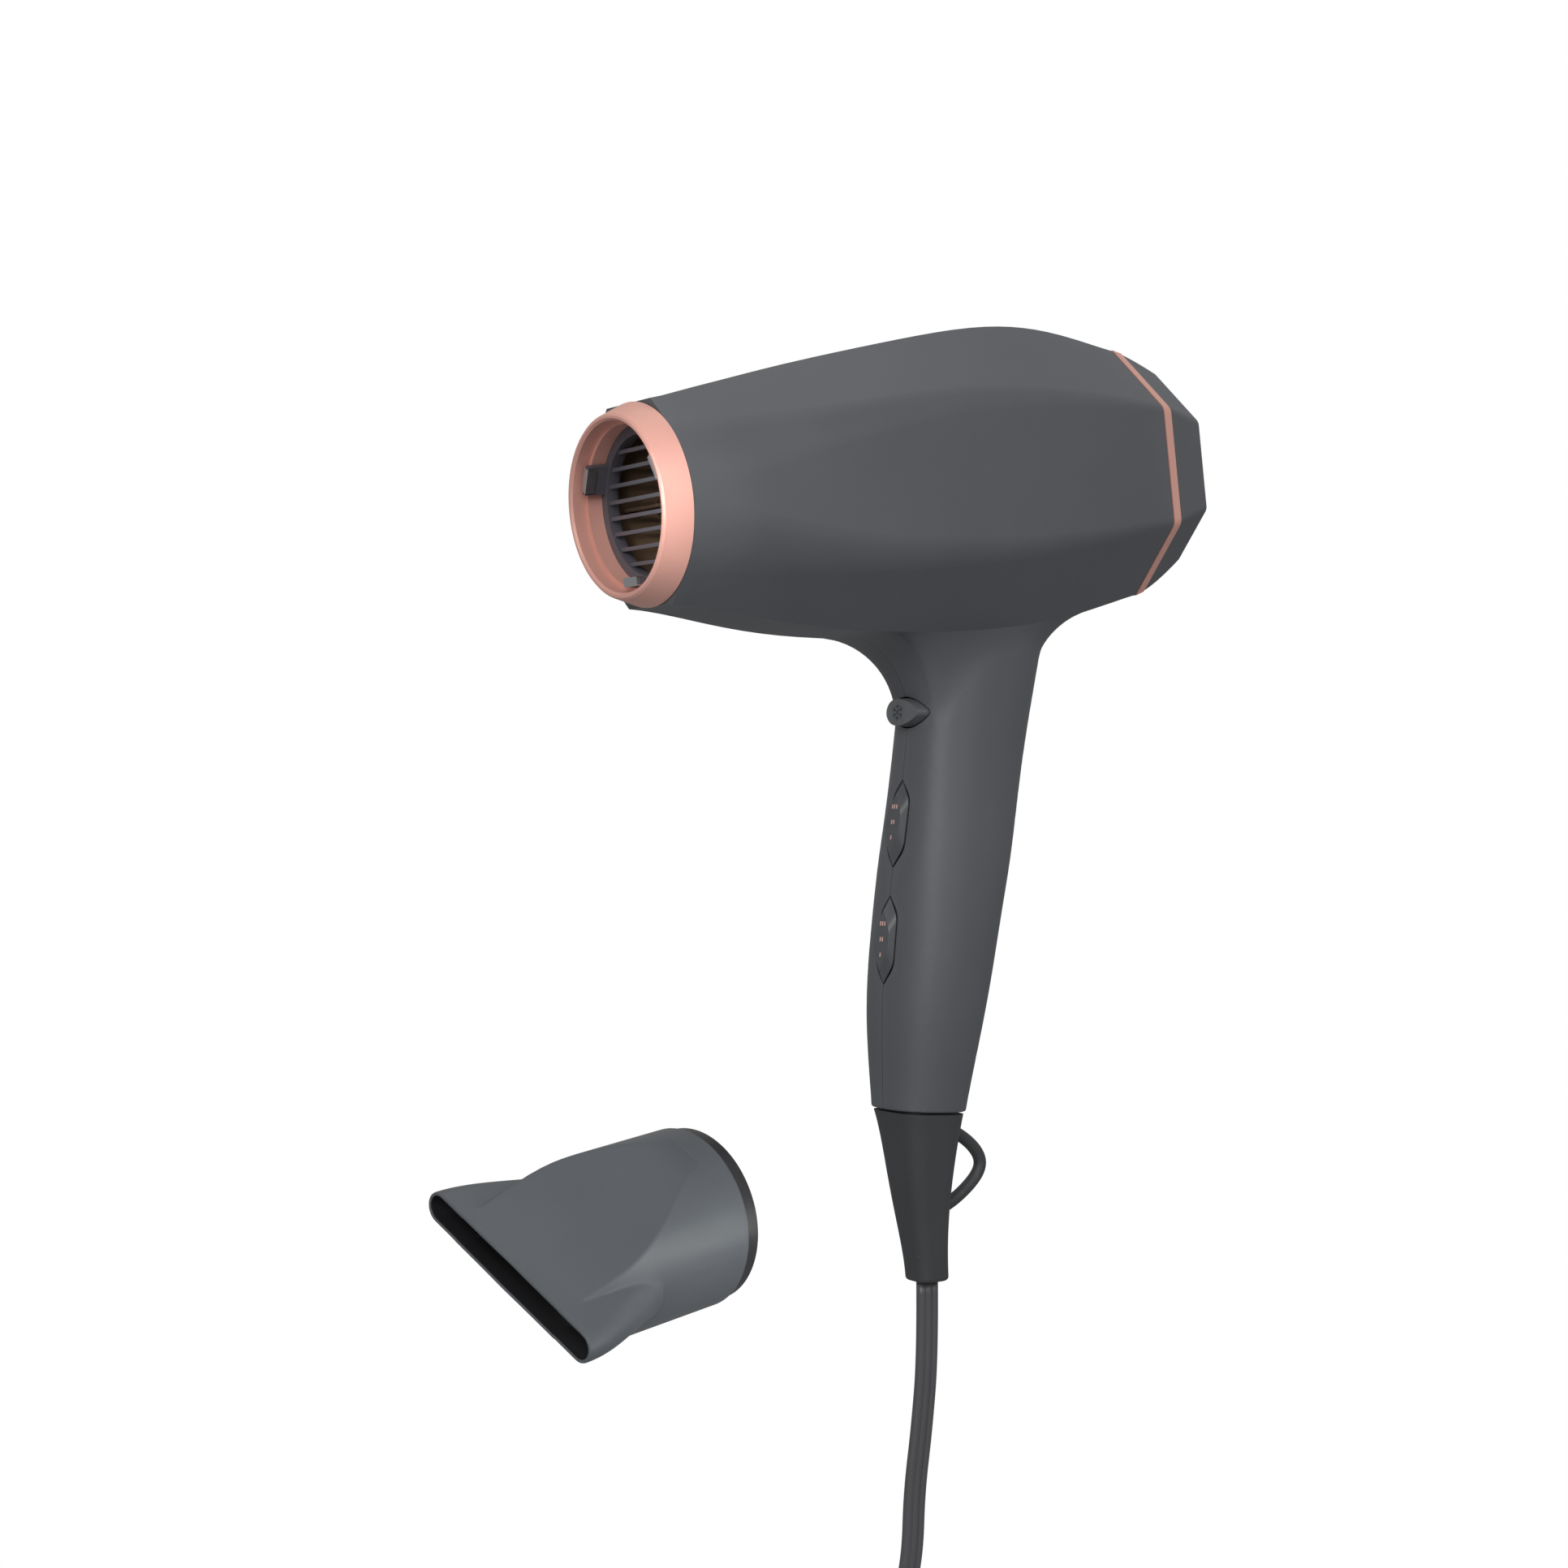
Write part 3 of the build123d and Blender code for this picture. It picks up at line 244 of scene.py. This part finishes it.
# ---- materials ----------------------------------------------------------------------------
def seam_line(tree, place, colour_out):
    """A thin dark line where the two housing halves meet, on the plane y = 0."""
    split = tree.nodes.new("ShaderNodeSeparateXYZ")
    tree.links.new(place.outputs["Object"], split.inputs["Vector"])
    side = tree.nodes.new("ShaderNodeMath")
    side.operation = "ABSOLUTE"
    tree.links.new(split.outputs["Y"], side.inputs[0])
    line = tree.nodes.new("ShaderNodeMapRange")
    line.inputs["From Min"].default_value = 0.10 * MM
    line.inputs["From Max"].default_value = 0.22 * MM
    line.inputs["To Min"].default_value = 0.35
    line.inputs["To Max"].default_value = 1.0
    tree.links.new(side.outputs["Value"], line.inputs["Value"])
    darker = tree.nodes.new("ShaderNodeVectorMath")
    darker.operation = "SCALE"
    tree.links.new(colour_out, darker.inputs[0])
    tree.links.new(line.outputs["Result"], darker.inputs["Scale"])
    return darker.outputs["Vector"]


def painted_edge_highlight(tree, colour, edge_highlight, colour_out):
    """Lighter colour on outward edges: a painted edge highlight."""
    edge = tree.nodes.new("ShaderNodeNewGeometry")
    # This mask picks out the outward edges, where the painted highlight goes.
    rim = tree.nodes.new("ShaderNodeMapRange")
    rim.inputs["From Min"].default_value = 0.52
    rim.inputs["From Max"].default_value = 0.62
    tree.links.new(edge.outputs["Pointiness"], rim.inputs["Value"])
    scaled = tree.nodes.new("ShaderNodeMath")
    scaled.operation = "MULTIPLY"
    scaled.inputs[1].default_value = edge_highlight
    tree.links.new(rim.outputs["Result"], scaled.inputs[0])
    mix = tree.nodes.new("ShaderNodeMix")
    mix.data_type = "RGBA"
    tree.links.new(scaled.outputs["Value"], mix.inputs["Factor"])
    tree.links.new(colour_out, mix.inputs["A"])
    # A lighter copy of the colour: the painted edge highlight.
    mix.inputs["B"].default_value = (*[min(1, c * 2.2 + 0.02) for c in colour], 1)
    return mix.outputs["Result"]


def finish(
    name,
    colour,
    rough,
    *,
    metal=0.0,
    spread=0.06,
    grain=900,
    bump=0.05,
    coat=0.0,
    edge_highlight=0.0,
    seam=False,
):
    """Moulded or coated surface: fine grain, cloudy colour and roughness, painted highlight on
    outward edges.
    """
    material = bpy.data.materials.new(name)
    material.use_nodes = True
    tree = material.node_tree
    shader = tree.nodes["Principled BSDF"]
    shader.inputs["Metallic"].default_value = metal
    shader.inputs["Coat Weight"].default_value = coat
    place = tree.nodes.new("ShaderNodeTexCoord")

    def noise(scale, detail):
        made = tree.nodes.new("ShaderNodeTexNoise")
        made.inputs["Scale"].default_value = scale
        made.inputs["Detail"].default_value = detail
        tree.links.new(place.outputs["Object"], made.inputs["Vector"])
        return made

    cloud, fine = noise(38, 4), noise(grain, 3)
    ramp = tree.nodes.new("ShaderNodeValToRGB")
    low = [c * (1 - spread) for c in colour]
    high = [min(1, c * (1 + spread)) for c in colour]
    ramp.color_ramp.elements[0].position = 0.35
    ramp.color_ramp.elements[1].position = 0.65
    ramp.color_ramp.elements[0].color = (*low, 1)
    ramp.color_ramp.elements[1].color = (*high, 1)
    tree.links.new(cloud.outputs["Fac"], ramp.inputs["Fac"])
    colour_out = ramp.outputs["Color"]
    if seam:
        colour_out = seam_line(tree, place, colour_out)
    # Painted highlight: outward edges are lightened.
    if edge_highlight:
        colour_out = painted_edge_highlight(tree, colour, edge_highlight, colour_out)
    tree.links.new(colour_out, shader.inputs["Base Color"])
    spots = tree.nodes.new("ShaderNodeMapRange")
    spots.inputs["To Min"].default_value = max(0.02, rough - 0.05)
    spots.inputs["To Max"].default_value = min(1, rough + 0.05)
    tree.links.new(cloud.outputs["Fac"], spots.inputs["Value"])
    tree.links.new(spots.outputs["Result"], shader.inputs["Roughness"])
    relief = tree.nodes.new("ShaderNodeBump")
    relief.inputs["Strength"].default_value = bump
    relief.inputs["Distance"].default_value = 0.0002
    tree.links.new(fine.outputs["Fac"], relief.inputs["Height"])
    tree.links.new(relief.outputs["Normal"], shader.inputs["Normal"])
    return material


GREY = (0.074, 0.078, 0.086)
# The edge_highlight entries set the strength of a painted highlight on outward edges.
FINISHES = {
    "soft_grey": (GREY, 0.52, dict(spread=0.03, bump=0.10, edge_highlight=0.10, seam=True)),
    "cap_grey": (GREY, 0.52, dict(spread=0.03, bump=0.10, edge_highlight=0.10)),
    "switch_grey": ((0.060, 0.064, 0.070), 0.42, dict(bump=0.08, edge_highlight=0.15)),
    "button_black": ((0.075, 0.079, 0.085), 0.42, dict(bump=0.08, edge_highlight=0.2)),
    "rose_gold": (
        (0.64, 0.33, 0.27), 0.48, dict(metal=0.15, spread=0.03, grain=1500, bump=0.05)
    ),
    "black_plastic": ((0.016, 0.015, 0.017), 0.40, dict(bump=0.10)),
    "grille": ((0.075, 0.072, 0.085), 0.38, dict(bump=0.06)),
    "boot": (
        (0.034, 0.036, 0.038), 0.55, dict(grain=1400, bump=0.18, spread=0.08, edge_highlight=0.2)
    ),
    "cord_black": ((0.068, 0.065, 0.070), 0.36, dict(grain=1500, bump=0.12)),
    "nozzle_grey": (
        (0.075, 0.083, 0.092), 0.50, dict(spread=0.04, grain=1700, bump=0.22, edge_highlight=0.15)
    ),
    "mica": ((0.13, 0.082, 0.048), 0.5, dict(spread=0.45, grain=500, bump=0.3)),
    "heater_wire": ((0.72, 0.66, 0.55), 0.28, dict(metal=1.0, spread=0.15, bump=0.1)),
    "metal": ((0.56, 0.56, 0.57), 0.30, dict(metal=1.0, grain=1500, bump=0.05)),
    "brass": ((0.70, 0.60, 0.36), 0.28, dict(metal=1.0, grain=1500, bump=0.05)),
    "copper": ((0.62, 0.26, 0.13), 0.35, dict(metal=0.9, spread=0.2, bump=0.2)),
    "board": ((0.03, 0.12, 0.05), 0.35, dict(coat=0.3, bump=0.1)),
    "fan": ((0.20, 0.20, 0.21), 0.45, dict(bump=0.1)),
    "wire_skin": ((0.62, 0.62, 0.60), 0.45, dict(bump=0.1)),
    "red": ((0.40, 0.02, 0.015), 0.30, dict(coat=0.3, bump=0.05)),
    "mark": ((0.62, 0.36, 0.33), 0.5, dict(spread=0.05, bump=0.02)),
}
looks = {
    name: finish(name, colour, rough, **more) for name, (colour, rough, more) in FINISHES.items()
}
LOOK_OF = {
    "soft_grey": ["housing_left", "housing_right"],
    "cap_grey": ["rear_cap"],
    "switch_grey": ["heat_rocker", "speed_rocker"],
    "button_black": ["cool_button"],
    "rose_gold": ["nose_ring", "rear_band"],
    "grille": ["outlet_grille"],
    "black_plastic": [
        "fan_shroud", "motor_end_cap", "heat_switch", "speed_switch", "cool_switch",
        "cord_clamp", "concentrator_collar", "motor_magnets", "motor_diodes",
        "plug_cover", "plug_body", "plug_relief", "plug_test_button",
    ],
    "boot": ["boot", "cord_tie"],
    "nozzle_grey": ["concentrator_shell"],
    "mica": ["mica_sleeve", "mica_board_upright", "mica_board_level"],
    "heater_wire": ["heater_winding"],
    "metal": [
        "housing_screws", "nozzle_clips", "thermal_cutoff", "thermal_fuse", "motor_can",
        "motor_shaft", "intake_filter", "cool_spring",
    ],
    "brass": ["plug_blades"],
    "copper": ["motor_armature"],
    "board": ["motor_board"],
    "fan": ["fan_impeller"],
    "wire_skin": ["live_wire", "neutral_wire"],
    "red": ["plug_reset_button"],
}


def paint(piece, look):
    piece.data.materials.clear()
    piece.data.materials.append(looks[look])


for look, names in LOOK_OF.items():
    for name in names:
        paint(nodes[name], look)
paint(mains_lead, "cord_black")


# ---- slot nozzle --------------------------------------------------------------------------
# It stands apart from the dryer, turned as in the photograph. Sizes are in millimetres, and s
# runs along its axis from the collar to the slot.
yaw, tilt, roll = (math.radians(a) for a in (11.0, 6.7, 118.6))
nozzle_place = Vector((-101.8, -20.6, -95.6))
forward = Vector(
    (-math.cos(tilt) * math.cos(yaw), -math.cos(tilt) * math.sin(yaw), -math.sin(tilt))
)
level = Vector((0, 0, 1)).cross(forward).normalized()
upward = forward.cross(level)
slot_dir = upward * math.cos(roll) + level * math.sin(roll)
slot_up = forward.cross(slot_dir)
BACK, FRONT = 4.4, 67.2
ROUND, NARROWING = 24.8, 3.2  # radius at the collar, and how much less it is at the front
FLAT, FLAT_FALL = 24.1, 19.8  # the flats' distance from the axis, and how far they slope in
SLOT_REACH, SLOT_THICK = 34.4, 4.3  # half length and half height of the front rim
AROUND, ALONG, ALONG_INSIDE = 320, 140, 48


def soft_max(a, b, k):
    """The larger of two, with a round of width k where they cross."""
    h = max(k - abs(a - b), 0) / k
    return max(a, b) + h * h * k / 4


def soft_min(a, b, k):
    """The smaller of two, with a round of width k where they cross."""
    h = max(k - abs(a - b), 0) / k
    return min(a, b) - h * h * k / 4


def ease(t):
    """A smooth step from 0 to 1."""
    t = min(1, max(0, t))
    return t * t * (3 - 2 * t)


def nozzle_radius(s, angle, inset):
    """Round body cut by two sloping flats, joined to a wing at each end of the slot."""
    c, sn = abs(math.cos(angle)), max(abs(math.sin(angle)), 1e-6)
    t = (FRONT - s) / (FRONT - BACK)
    round_part = ROUND - inset - NARROWING * ease((s - 38) / 29)
    flat = FLAT - FLAT_FALL * ease((s - 12) / 58) + 2.0 * ease((12.4 - s) / 1.2) - inset
    main = soft_min(round_part, flat / sn, 0.3)
    # The wing's section is a stadium, longest at the slot.
    reach = SLOT_REACH - 10.5 * ease(t / 0.7) - 5 * ease((t - 0.48) / 0.14) - inset
    thick = SLOT_THICK + 4.5 * t / 0.5 - 16 * max(0, t - 0.5) - inset
    if thick < 0.5:
        return main
    middle = max(reach - thick, 0)
    by_side = thick / sn
    if by_side * c > middle:
        inside = thick * thick - middle * middle * sn * sn
        by_side = middle * c + math.sqrt(max(inside, 0))
    return soft_max(main, by_side, 0.8)


def nozzle_shell():
    """The shell's outside, its rolled front rim and its inside, as one closed mesh."""
    points, faces = [], []

    def ring(s, inset):
        row = len(points)
        for k in range(AROUND):
            a = 2 * math.pi * (k + 0.5) / AROUND
            # The points bunch towards the slot's two ends.
            a -= 0.42 * math.sin(2 * a) * ease((s - 20) / 40)
            r = nozzle_radius(s, a, inset)
            at = (
                nozzle_place
                + forward * s
                + slot_dir * (r * math.cos(a))
                + slot_up * (r * math.sin(a))
            )
            points.append(at * MM)
        return row

    wall_end = FRONT - 0.6
    depth = wall_end - BACK
    rows = [ring(BACK + depth * i / ALONG, 0.0) for i in range(ALONG + 1)]
    rim = ((FRONT - 0.2, 0.08), (FRONT, 0.32), (FRONT, 0.75), (FRONT - 0.2, 0.95))
    rows += [ring(s, inset) for s, inset in rim]
    outside = len(rows) - 1
    rows += [
        ring(wall_end - depth * i / ALONG_INSIDE, 1.0 + 0.9 * ease(i / 10))
        for i in range(ALONG_INSIDE + 1)
    ]
    for a, b in zip(rows, [*rows[1:], rows[0]]):
        for k in range(AROUND):
            n = (k + 1) % AROUND
            faces.append((a + k, a + n, b + n, b + k))
    made = mesh_object("slot_nozzle", points, faces)
    made.data.materials.append(looks["nozzle_grey"])
    # The second finish, near-black plastic, goes on the inside of the shell: painted shade inside
    # the nozzle.
    made.data.materials.append(looks["black_plastic"])
    for polygon in made.data.polygons:
        polygon.material_index = int(polygon.index // AROUND >= outside)
    return made


slot_nozzle = nozzle_shell()
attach(slot_nozzle, "nozzle_shell")
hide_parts("concentrator_shell")


# ---- bare wires in front of the heater boards ---------------------------------------------
BARREL_LEAN = math.radians(7.4)
NOSE_PLACE = Vector((-116, 0, 100))


def barrel_place(along, up, side):
    """A point in the barrel: along its axis from the nose, up and to the side, in millimetres."""
    ahead = Vector((math.cos(BARREL_LEAN), 0, math.sin(BARREL_LEAN)))
    rise = Vector((-math.sin(BARREL_LEAN), 0, math.cos(BARREL_LEAN)))
    return (NOSE_PLACE + Vector((0, side, 0)) + ahead * along + rise * up) * MM


def bare_wire(name, places, radius=0.42 * MM, sides=10):
    line = smooth_line([barrel_place(*p) for p in places], name + "_line")
    turns = [k * math.tau / sides for k in range(sides)]
    ring = [(radius * math.cos(a), radius * math.sin(a)) for a in turns]
    wire = swept(name, line, ring, Vector((1, 0.2, 0.1)))
    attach(wire, "dryer")
    paint(wire, "heater_wire")


WIRE_PLACES = (
    ((24, 17, 13), (20, 12, 9), (17, 4, 2), (16.8, 0, -1), (18, -7, -5), (22, -10, -7)),
    ((26, 15, -8), (20, 9, -5), (17, 2, -2), (16.8, -5, 2), (19, -10, 5), (25, -13, 7)),
    (
        (22, -8, 3), (19, -9.5, 0), (17.5, -11, 2), (17, -13, 5),
        (17.5, -15, 4.5), (19, -16, 2), (20, -19, 4), (24, -20, 6),
    ),
    (
        (22, -4, -9), (19, -7, -7), (17.5, -10, -9),
        (17.5, -12, -10), (18, -14, -8.5), (22, -16, -9),
    ),
)
for number, places in enumerate(WIRE_PLACES, 1):
    bare_wire(f"heater_lead_{number}", places)


# ---- printed marks on the rockers ---------------------------------------------------------
BAR_WIDTH, BAR_HEIGHT = 0.56 * MM, 1.30 * MM
BAR_PITCH, ROW_PITCH = 1.05 * MM, 4.7 * MM
BAR_SUNK, BAR_PROUD, BAR_ROUND = 0.05 * MM, 0.03 * MM, 0.08 * MM
BOX_FACES = ((3, 2, 1, 0), (4, 5, 6, 7), (0, 1, 5, 4), (1, 2, 6, 5), (2, 3, 7, 6), (3, 0, 4, 7))


def bar_marks(name, node, tilt_degrees, body):
    """Three rows of bars on a rocker's face: one bar, two bars and three bars."""
    lean = math.radians(tilt_degrees)
    out = Vector((-math.cos(lean), 0, math.sin(lean)))
    up = Vector((math.sin(lean), 0, math.cos(lean)))
    low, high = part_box(node)
    centre_x, centre_z = (low[0] + high[0]) / 2, (low[2] + high[2]) / 2
    face = max(v.co.dot(out) for v in nodes[node].data.vertices)
    middle = out * face + up * Vector((centre_x, 0, centre_z)).dot(up)
    points, faces = [], []
    corners = ((-1, -1), (1, -1), (1, 1), (-1, 1))
    for row, bars in enumerate((3, 2, 1)):
        for bar in range(bars):
            y = (bar - (bars - 1) / 2) * BAR_PITCH
            centre = middle + up * ((1 - row) * ROW_PITCH) + Vector((0, y, 0))
            start = len(points)
            points += [
                centre + out * lift + Vector((0, i * BAR_WIDTH / 2, 0)) + up * (j * BAR_HEIGHT / 2)
                for lift in (-BAR_SUNK, BAR_PROUD)
                for i, j in corners
            ]
            faces += [tuple(start + i for i in face_points) for face_points in BOX_FACES]
    marks = mesh_object(name, points, faces, smooth=False)
    bevel = marks.modifiers.new("round", "BEVEL")
    bevel.width = BAR_ROUND
    bevel.segments = 2
    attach(marks, body)
    paint(marks, "mark")


bar_marks("heat_marks", "heat_rocker", 9.0, "heat_rocker")
bar_marks("speed_marks", "speed_rocker", 6.0, "speed_rocker")


# ---- floor and light ----------------------------------------------------------------------
def white_to_camera(tree, dim, output, socket):
    """What the camera sees of this surface is white; what it sheds on the object is dim."""
    ray = tree.nodes.new("ShaderNodeLightPath")
    mix = tree.nodes.new("ShaderNodeMixShader")
    bright = tree.nodes.new("ShaderNodeEmission")
    bright.inputs["Color"].default_value = (1, 1, 1, 1)
    bright.inputs["Strength"].default_value = 1.0
    tree.links.new(ray.outputs["Is Camera Ray"], mix.inputs["Fac"])
    tree.links.new(dim, mix.inputs[1])
    tree.links.new(bright.outputs["Emission"], mix.inputs[2])
    tree.links.new(mix.outputs["Shader"], output.inputs[socket])


def lamp(name, place, target, size, power, spread=math.pi):
    """A round area lamp aimed at a point; a small spread makes a narrow beam."""
    data = bpy.data.lights.new(name, "AREA")
    data.shape = "DISK"
    data.size = size
    data.energy = power
    data.spread = spread
    made = bpy.data.objects.new(name, data)
    bpy.context.scene.collection.objects.link(made)
    made.location = place
    made.rotation_euler = (Vector(target) - Vector(place)).to_track_quat("-Z", "Y").to_euler()
    return made


def studio():
    """A white floor well below the hank, an even white world, and five lamps."""
    low = cad_box[0][2] - 0.02
    half, count = 30.0, 12
    points = [
        Vector((-half + 2 * half * i / count, -half + 2 * half * j / count, low))
        for i in range(count + 1)
        for j in range(count + 1)
    ]
    faces = [
        (
            i * (count + 1) + j,
            (i + 1) * (count + 1) + j,
            (i + 1) * (count + 1) + j + 1,
            i * (count + 1) + j + 1,
        )
        for i in range(count)
        for j in range(count)
    ]
    floor = mesh_object("floor", points, faces, smooth=False)
    material = bpy.data.materials.new("floor")
    material.use_nodes = True
    tree = material.node_tree
    shader = tree.nodes["Principled BSDF"]
    shader.inputs["Base Color"].default_value = (0.42, 0.42, 0.43, 1)
    shader.inputs["Roughness"].default_value = 0.9
    white_to_camera(tree, shader.outputs["BSDF"], tree.nodes["Material Output"], "Surface")
    floor.data.materials.append(material)
    world = bpy.data.worlds.new("world")
    bpy.context.scene.world = world
    world.use_nodes = True
    tree = world.node_tree
    back = tree.nodes["Background"]
    back.inputs["Color"].default_value = (1, 1, 1, 1)
    back.inputs["Strength"].default_value = 0.50
    white_to_camera(tree, back.outputs["Background"], tree.nodes["World Output"], "Surface")
    middle = (0, 0, 0.03)
    nose, nozzle = (-0.09, 0, 0.10), (-0.125, -0.03, -0.10)
    lamp("key", (-1.25, -1.2, 0.75), middle, 1.1, 18)
    lamp("front", (0.1, -1.5, 0.45), middle, 0.9, 3.5)
    lamp("top", (0.1, 0.2, 1.4), middle, 0.9, 2.5)
    lamp("into_nose", (-0.52, -0.34, 0.07), nose, 0.01, 0.003, math.radians(6))
    lamp("near_nozzle", (0.16, -0.42, -0.16), nozzle, 0.04, 0.02, math.radians(22))
    bpy.context.scene.view_settings.view_transform = "Standard"


studio()
